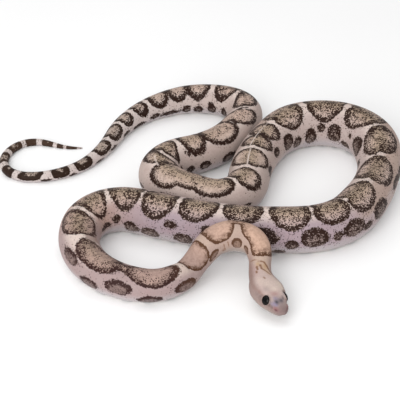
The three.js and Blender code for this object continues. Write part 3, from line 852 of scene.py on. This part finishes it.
# ---------------------------------------------------------------- materials
class Graph:
    """Short names for adding shader nodes to one material."""

    def __init__(self, name):
        self.material = bpy.data.materials.new(name)
        self.material.use_nodes = True
        self.tree = self.material.node_tree
        self.shader = self.tree.nodes["Principled BSDF"]
        self.place = self.put("ShaderNodeTexCoord").outputs["Object"]

    def put(self, kind, feeds=(), **settings):
        """A new node with these settings, and each named socket fed from a value or a socket."""
        node = self.tree.nodes.new(kind)
        for key, value in settings.items():
            setattr(node, key, value)
        for socket, value in dict(feeds).items():
            self.feed(node.inputs[socket], value)
        return node

    def feed(self, socket, value):
        """Links the socket to another one, or sets its value."""
        if isinstance(value, bpy.types.NodeSocket):
            self.tree.links.new(value, socket)
        else:
            socket.default_value = value

    def finish(self, feeds):
        """Feeds the named sockets of the shader."""
        for name, value in feeds.items():
            self.feed(self.shader.inputs[name], value)

    def join(self, operation, first, *others):
        """The values joined one after another by a Math node's operation."""
        for value in others:
            node = self.put("ShaderNodeMath", {0: first, 1: value}, operation=operation)
            first = node.outputs[0]
        return first

    def add(self, *values):
        return self.join("ADD", *values)

    def times(self, *values):
        return self.join("MULTIPLY", *values)

    def minus(self, first, second):
        return self.join("SUBTRACT", first, second)

    def rest(self, part):
        """What the part leaves of 1."""
        return self.join("SUBTRACT", 1.0, part)

    def field(self, name):
        return self.put("ShaderNodeAttribute", attribute_name=name).outputs["Fac"]

    def paint(self, name):
        return self.put("ShaderNodeAttribute", attribute_name=name).outputs["Color"]

    def noise(self, size, detail=2.0, rough=0.5):
        """Cloudy noise from 0 to 1 whose lumps are about size millimetres wide."""
        feeds = {"Vector": self.place, "Scale": 1 / (size * MM), "Detail": detail, "Roughness": rough}
        return self.put("ShaderNodeTexNoise", feeds).outputs["Fac"]

    def cells(self, size, feature="F1", wander=0.0):
        """Cells about size millimetres wide: how far from each one's middle, and its own number."""
        place = self.place
        if wander:
            feeds = {"Vector": place, "Scale": 2 / (size * MM), "Detail": 2.0}
            bent = self.put("ShaderNodeTexNoise", feeds).outputs["Color"]
            feeds = {0: bent, 1: (0.5, 0.5, 0.5)}
            bent = self.put("ShaderNodeVectorMath", feeds, operation="SUBTRACT").outputs[0]
            feeds = {0: bent, "Scale": 2 * wander * size * MM}
            bent = self.put("ShaderNodeVectorMath", feeds, operation="SCALE").outputs[0]
            place = self.put("ShaderNodeVectorMath", {0: place, 1: bent}).outputs[0]
        feeds = {"Vector": place, "Scale": 1 / (size * MM)}
        node = self.put("ShaderNodeTexVoronoi", feeds, feature=feature)
        parts = self.put("ShaderNodeSeparateColor", {0: node.outputs["Color"]})
        return node.outputs["Distance"], parts.outputs[0]

    def ramp(self, value, low, high):
        """0 at low, 1 at high and a smooth step between."""
        feeds = {"Value": value, "From Min": low, "From Max": high}
        return self.put("ShaderNodeMapRange", feeds, interpolation_type="SMOOTHSTEP").outputs[0]

    def mix(self, part, first, second):
        """The first colour with the second mixed in by part."""
        feeds = {0: part, 6: first, 7: second}
        return self.put("ShaderNodeMix", feeds, data_type="RGBA").outputs[2]


def skin_material(settings):
    """Fields of the skin turned into frayed outlines, dark rims and specks, over a soft grain.

    An outline is where a field plus noise passes 0. A speck is a cell whose own number, from 0 to 1,
    is below the chance of dark at its place.
    """
    graph = Graph("skin")
    add, minus, times, rest = graph.add, graph.minus, graph.times, graph.rest
    ramp, mix, noise, field, paint = graph.ramp, graph.mix, graph.noise, graph.field, graph.paint

    ragged = field("ragged")
    crowd = field("crowd")
    coarse = minus(noise(2.2, 1), 0.5)
    fine = minus(noise(0.9, 2, 0.6), 0.5)
    fray = times(add(coarse, fine), 2.2 * settings.fray, ragged)
    number = graph.cells(settings.speck, wander=0.35)[1]
    clump = minus(noise(3.0, 2), 0.5)

    def specks(chance):
        """Dark cells: each has its own number and turns dark where the chance is above it."""
        return ramp(minus(chance, number), 0.0, 0.05)

    def marking(depth, rim, inside_chance):
        """A mark's inside, and its dark: a solid rim that breaks into specks inwards and outwards.

        The chance of dark rises from 0 at the outline, stays full over the rim and then falls to the
        chance inside, which is highest just within the rim.
        """
        edge = add(depth, fray)
        outer = ramp(edge, times(ragged, -0.8), times(ragged, 0.45))
        inner = ramp(edge, rim, add(rim, add(times(ragged, 2.4), 0.15)))
        towards_rim = add(times(ramp(depth, 0.6, 5.0), -1.25), 1.95)
        inside_chance = graph.join("MINIMUM", times(inside_chance, towards_rim), 0.86)
        full = minus(1.12, times(ragged, 0.2))
        chance = times(outer, full, rest(times(inner, rest(inside_chance))))
        uneven = times(ramp(inside_chance, 0.02, 0.2), 1.3, clump, inner)
        return ramp(edge, -0.3, 0.2), specks(add(chance, uneven))

    saddle, saddle_dark = marking(field("saddle"), field("rim"), crowd)
    blotch, blotch_dark = marking(field("blotch"), FAR, 0.0)
    core = ramp(add(field("core"), fray), -0.5, 0.5)
    core = times(core, rest(specks(add(crowd, clump, -0.03))))
    blotch_dark = times(blotch_dark, rest(core))
    nape = ramp(add(field("nape"), fray), -0.55, 0.25)
    check = ramp(add(field("check"), fray), -0.3, 0.5)
    seam = ramp(add(field("seam"), times(fray, 0.3)), -0.3, 0.15)

    beside = graph.join("MAXIMUM", field("saddle"), field("blotch"))
    chance = add(0.02, times(ramp(beside, -3.5, -0.3), 0.22))
    uneven = add(1.0, times(clump, 3.0))
    chance = times(crowd, uneven, chance, rest(field("belly")))
    stray = ramp(minus(chance, number), 0.0, 0.015)

    mottle = ramp(noise(6.0, 3, 0.6), 0.3, 0.75)
    ground = mix(mottle, paint("ground"), paint("ground_warm"))
    lattice = ramp(graph.cells(0.7)[0], 0.15, 0.75)
    lattice = add(times(lattice, 0.09), times(number, 0.07))
    ground = mix(lattice, ground, (0.1, 0.07, 0.07, 1))
    cloud = ramp(noise(1.4, 3, 0.65), 0.3, 0.72)
    halo = times(rest(ramp(field("saddle"), 0.4, 3.4)), add(cloud, 0.25))
    shade = add(times(cloud, 0.3), times(halo, field("halo")))
    edge = paint("edge")
    inner = mix(shade, paint("inner"), edge)
    tone = mix(saddle, ground, inner)
    for part, strength, over in (
        (blotch, 0.6, inner),
        (blotch, 0.38, edge),
        (stray, 0.7, edge),
        (saddle_dark, 0.97, edge),
        (blotch_dark, field("blotch_strength"), edge),
        (seam, 0.85, ground),
        (nape, 0.95, (*settings.nape_line, 1)),
        (check, 0.72, (*settings.check, 1)),
    ):
        tone = mix(times(part, strength), tone, over)

    relief = minus(noise(0.8, 4, 0.65), times(graph.cells(0.5, "SMOOTH_F1")[0], 0.7))
    feeds = {"Strength": settings.grain, "Distance": 0.25 * MM, "Height": relief}
    graph.finish({
        "Base Color": tone,
        "Roughness": add(settings.roughness - 0.06, times(noise(1.1, 3), 0.14)),
        "Specular IOR Level": 0.1,
        "Normal": graph.put("ShaderNodeBump", feeds).outputs["Normal"],
    })
    return graph.material


def eye_material(settings):
    """A near-black eye under a clear scale, with a slightly lighter iris round a round pupil."""
    graph = Graph("eye")
    edge = settings.pupil_share
    ring = graph.ramp(graph.field("off_axis"), edge - 0.04, edge + 0.04)
    flecks = graph.ramp(graph.noise(0.35, 3, 0.7), 0.3, 0.8)
    pupil = (*settings.pupil, 1)
    iris = graph.mix(graph.times(flecks, 0.6), (*settings.iris, 1), pupil)
    graph.finish({
        "Base Color": graph.mix(ring, pupil, iris),
        "Roughness": 0.3,
        "Specular IOR Level": 0.0,
        "Coat Weight": 0.3,
        "Coat Roughness": 0.15,
    })
    return graph.material


def floor_material(tone):
    """A matt floor with a barely darker cloud in it."""
    graph = Graph("floor")
    cloud = graph.ramp(graph.noise(180, 2), 0.2, 0.8)
    deeper = tuple(0.97 * value for value in tone)
    graph.finish({"Base Color": graph.mix(cloud, (*tone, 1), (*deeper, 1)), "Roughness": 0.6})
    return graph.material


# ---------------------------------------------------------------- meshes
def grid_mesh(name, points, poles):
    """A closed mesh from rings of points and the two poles that close its ends.

    Quads join each ring to the next, and a fan of triangles joins each end ring to its pole, which
    counts as a ring of its own. Returns the object and, for each corner of each face, its ring and
    its column.
    """
    rings, columns = points.shape[:2]
    ring, column = np.meshgrid(np.arange(rings - 1), np.arange(columns), indexing="ij")
    ring, column = ring.ravel(), column.ravel()
    each = np.arange(columns)
    end = np.full(columns, rings - 1)
    corner_ring = np.concatenate([
        np.stack([ring, ring + 1, ring + 1, ring], 1).ravel(),
        np.stack([0 * each - 1, 0 * each, 0 * each], 1).ravel(),
        np.stack([end + 1, end, end], 1).ravel(),
    ])
    corner_column = np.concatenate([
        np.stack([column, column, column + 1, column + 1], 1).ravel(),
        np.stack([each + 0.5, each, each + 1], 1).ravel(),
        np.stack([each + 0.5, each + 1, each], 1).ravel(),
    ])
    corners = corner_ring * columns + corner_column.astype(int) % columns
    corners[corner_ring < 0] = rings * columns
    corners[corner_ring >= rings] = rings * columns + 1
    starts = np.concatenate([
        np.arange(len(ring)) * 4,
        len(ring) * 4 + np.arange(2 * columns) * 3,
    ])
    mesh = bpy.data.meshes.new(name)
    everything = np.concatenate([points.reshape(-1, 3), poles]) * MM
    mesh.vertices.add(len(everything))
    mesh.vertices.foreach_set("co", everything.astype(np.float32).ravel())
    mesh.loops.add(len(corners))
    mesh.loops.foreach_set("vertex_index", corners.astype(np.int32))
    mesh.polygons.add(len(starts))
    mesh.polygons.foreach_set("loop_start", starts.astype(np.int32))
    mesh.polygons.foreach_set("use_smooth", np.ones(len(starts), bool))
    mesh.update(calc_edges=True)
    mesh.validate()
    piece = bpy.data.objects.new(name, mesh)
    bpy.context.scene.collection.objects.link(piece)
    return piece, corner_ring, corner_column


def add_field(piece, name, values, pole_values):
    """A number on each point of a grid mesh."""
    layer = piece.data.attributes.new(name, "FLOAT", "POINT")
    layer.data.foreach_set("value", np.append(values.ravel(), pole_values).astype(np.float32))


def add_paint(piece, name, colours):
    """A colour on each point of a grid mesh; the poles take the end rings' mean."""
    ends = np.stack([colours[0].mean(0), colours[-1].mean(0)])
    flat = np.concatenate([colours.reshape(-1, 3), ends])
    layer = piece.data.attributes.new(name, "FLOAT_COLOR", "POINT")
    full = np.concatenate([flat, np.ones((len(flat), 1))], 1)
    layer.data.foreach_set("color", full.astype(np.float32).ravel())


UV_STRIPS = 3
UV_SPARE = (3, 2)               # millimetres left free at the ends of each strip, and beside it
POLE_BEYOND = 0.8               # how far past the end ring a pole lies on its strip


def unwrap(piece, at, arc, corner_ring, corner_column):
    """A bake map of three long strips, one above the other, each at the skin's own scale.

    A face lies on the strip of its first corner, so that no face is torn apart.
    """
    rings, columns = arc.shape
    strip = BODY_LENGTH / UV_STRIPS
    tall = 2 * math.pi * max(row[1] for row in GIRTH) + 2 * UV_SPARE[1]
    scale = 1 / max(strip + 2 * UV_SPARE[0], UV_STRIPS * tall)
    ring = np.clip(corner_ring, 0, rings - 1)
    place = at[ring] + POLE_BEYOND * (corner_ring - ring)
    across = (corner_column / columns * 2 - 1) * math.pi * girth(at)[ring]
    in_quads = (rings - 1) * columns * 4
    owner = np.concatenate([ring[:in_quads:4].repeat(4), ring[in_quads:]])
    row = np.clip((at[owner] / strip).astype(int), 0, UV_STRIPS - 1)
    u = (place - row * strip + UV_SPARE[0]) * scale
    v = (row * tall + tall / 2 + across) * scale
    layer = piece.data.uv_layers.new(name="OFBake")
    layer.data.foreach_set("uv", np.stack([u, v], 1).astype(np.float32).ravel())


# ---------------------------------------------------------------- operators
class SNAKE_OT_skin(bpy.types.Operator):
    """Makes the one skin of head, neck, trunk and tail"""

    bl_idname = "snake.skin"
    bl_label = "Skin"
    bl_options = {"REGISTER", "UNDO"}

    def execute(self, context):
        settings = context.scene.snake_skin
        at, groove = ring_places()
        angle = column_angles(at)
        arc = angle * girth(at)[:, None]
        piece, corner_ring, corner_column = grid_mesh("skin", *finished_points(at, angle, groove))
        for name, values in skin_fields(at, angle, arc).items():
            add_field(piece, name, values, [values[0].mean(), values[-1].mean()])
        for name, colours in skin_colours(settings, at, angle, arc).items():
            add_paint(piece, name, colours)
        unwrap(piece, at, arc, corner_ring, corner_column)
        piece.data.materials.append(skin_material(settings))
        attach(piece, "root")
        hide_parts(*(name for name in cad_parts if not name.startswith("eye_")))
        return {"FINISHED"}


class SNAKE_OT_eyes(bpy.types.Operator):
    """Makes both eyes, each a dark dome under its clear scale"""

    bl_idname = "snake.eyes"
    bl_label = "Eyes"
    bl_options = {"REGISTER", "UNDO"}

    def execute(self, context):
        material = eye_material(context.scene.snake_eyes)
        for hand, name in ((1, "right"), (-1, "left")):
            piece = self.dome(f"eyeball_{name}", hand)
            piece.data.materials.append(material)
            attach(piece, "root")
            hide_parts(f"eye_{name}")
        return {"FINISHED"}

    def dome(self, name, hand):
        """A ball flattened along the eye's outward axis: rings at even angles from that axis."""
        centre, out, rise, fore = eye_axes(hand)
        # tilt from the outward axis, and turn round it, the other way on the left to face outwards
        tilt = np.linspace(0, math.pi, EYE_RINGS + 2)[1:-1, None]
        turn = np.linspace(0, 2 * math.pi, EYE_COLUMNS, endpoint=False)[None] * -hand
        flat = np.sin(tilt) * EYE_RADIUS
        points = (
            centre
            + out * (np.cos(tilt) * EYE_THICK + 0 * turn)[..., None]
            + rise * (flat * np.cos(turn))[..., None]
            + fore * (flat * np.sin(turn))[..., None]
        )
        poles = np.stack([centre + out * EYE_THICK, centre - out * EYE_THICK])
        piece = grid_mesh(name, points, poles)[0]
        off_axis = np.where(np.cos(tilt) > 0, np.sin(tilt), 2) + 0 * turn
        add_field(piece, "off_axis", off_axis, [0, 2])
        return piece


AIM = (0.33, 1.63, 0)           # the point on the floor that the camera looks at, in millimetres
SENSOR = 36                     # width of the camera's sensor, in millimetres
FLOOR_REACH = 4.0               # from the floor's middle to each edge, in metres
# (name, its place and its side length in metres, the setting that holds its power)
LAMPS = (
    ("key", (-0.25, 0.1, 0.8), 0.9, "key_power"),
    ("fill", (-0.3, -0.8, 0.45), 0.6, "fill_power"),
)


class SNAKE_OT_stage(bpy.types.Operator):
    """Makes the pale floor, the soft lights and the camera"""

    bl_idname = "snake.stage"
    bl_label = "Stage"
    bl_options = {"REGISTER", "UNDO"}

    def execute(self, context):
        stage = context.scene.snake_stage
        self.floor(stage)
        self.camera(stage)
        self.lights(stage)
        context.scene.view_settings.view_transform = "Standard"
        return {"FINISHED"}

    def floor(self, stage):
        """A wide level square under the snake."""
        mesh = bpy.data.meshes.new("floor")
        reach = FLOOR_REACH
        corners = [(-reach, -reach, 0), (reach, -reach, 0), (reach, reach, 0), (-reach, reach, 0)]
        mesh.from_pydata(corners, [], [(0, 1, 2, 3)])
        floor = bpy.data.objects.new("floor", mesh)
        bpy.context.scene.collection.objects.link(floor)
        mesh.materials.append(floor_material(stage.floor_tone))
        floor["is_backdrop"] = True

    def camera(self, stage):
        """Looks down at the aim point on the floor from the near side."""
        rise = stage.camera_angle
        away = np.array([0, -math.cos(rise), math.sin(rise)]) * stage.camera_distance
        data = bpy.data.cameras.new("camera")
        data.lens = stage.lens
        data.sensor_width = SENSOR
        camera = bpy.data.objects.new("camera", data)
        camera.location = np.array(AIM) * MM + away
        camera.rotation_euler = (math.pi / 2 - rise, 0, 0)
        bpy.context.scene.collection.objects.link(camera)
        bpy.context.scene.camera = camera

    def lights(self, stage):
        """One large soft light overhead, a smaller one by the camera, and an even sky."""
        for name, place, size, power in LAMPS:
            data = bpy.data.lights.new(name, "AREA")
            data.energy = getattr(stage, power)
            data.size = size
            lamp = bpy.data.objects.new(name, data)
            lamp.location = place
            back = np.array(place) / np.linalg.norm(place)
            flat = math.hypot(back[0], back[1])
            lamp.rotation_euler = (math.atan2(flat, back[2]), 0, math.atan2(back[0], -back[1]))
            bpy.context.scene.collection.objects.link(lamp)
        world = bpy.data.worlds.new("sky")
        world.use_nodes = True
        sky = world.node_tree.nodes["Background"]
        sky.inputs["Color"].default_value = (1, 1, 1, 1)
        sky.inputs["Strength"].default_value = stage.sky
        bpy.context.scene.world = world


class SNAKE_PT_panel(bpy.types.Panel):
    """Lists the snake's pieces and its stage"""

    bl_label = "Snake"
    bl_space_type = "VIEW_3D"
    bl_region_type = "UI"
    bl_category = "Snake"

    def draw(self, context):
        for operator, settings in (
            (SNAKE_OT_skin, context.scene.snake_skin),
            (SNAKE_OT_eyes, context.scene.snake_eyes),
            (SNAKE_OT_stage, context.scene.snake_stage),
        ):
            box = self.layout.box()
            for name in settings.bl_rna.properties.keys():
                if name not in ("rna_type", "name"):
                    box.prop(settings, name)
            box.operator(operator.bl_idname)


SETTINGS = {
    "snake_skin": SnakeSkinSettings,
    "snake_eyes": SnakeEyeSettings,
    "snake_stage": SnakeStageSettings,
}
CLASSES = (*SETTINGS.values(), SNAKE_OT_skin, SNAKE_OT_eyes, SNAKE_OT_stage, SNAKE_PT_panel)


def register():
    """Makes Blender know the classes, and gives each scene its settings."""
    for kind in CLASSES:
        bpy.utils.register_class(kind)
    for name, kind in SETTINGS.items():
        setattr(bpy.types.Scene, name, bpy.props.PointerProperty(type=kind))


def unregister():
    """Takes back what register did."""
    for name in SETTINGS:
        delattr(bpy.types.Scene, name)
    for kind in reversed(CLASSES):
        bpy.utils.unregister_class(kind)


def main():
    """Makes every piece and the stage, and works out the CAD box and the finished model's box."""
    register()
    bpy.ops.snake.skin()
    bpy.ops.snake.eyes()
    bpy.ops.snake.stage()
    boxes = {"cad": CAD_BOX, "visual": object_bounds()}
    {name: [list(corner) for corner in box] for name, box in boxes.items()}


if __name__ == "__main__":
    main()
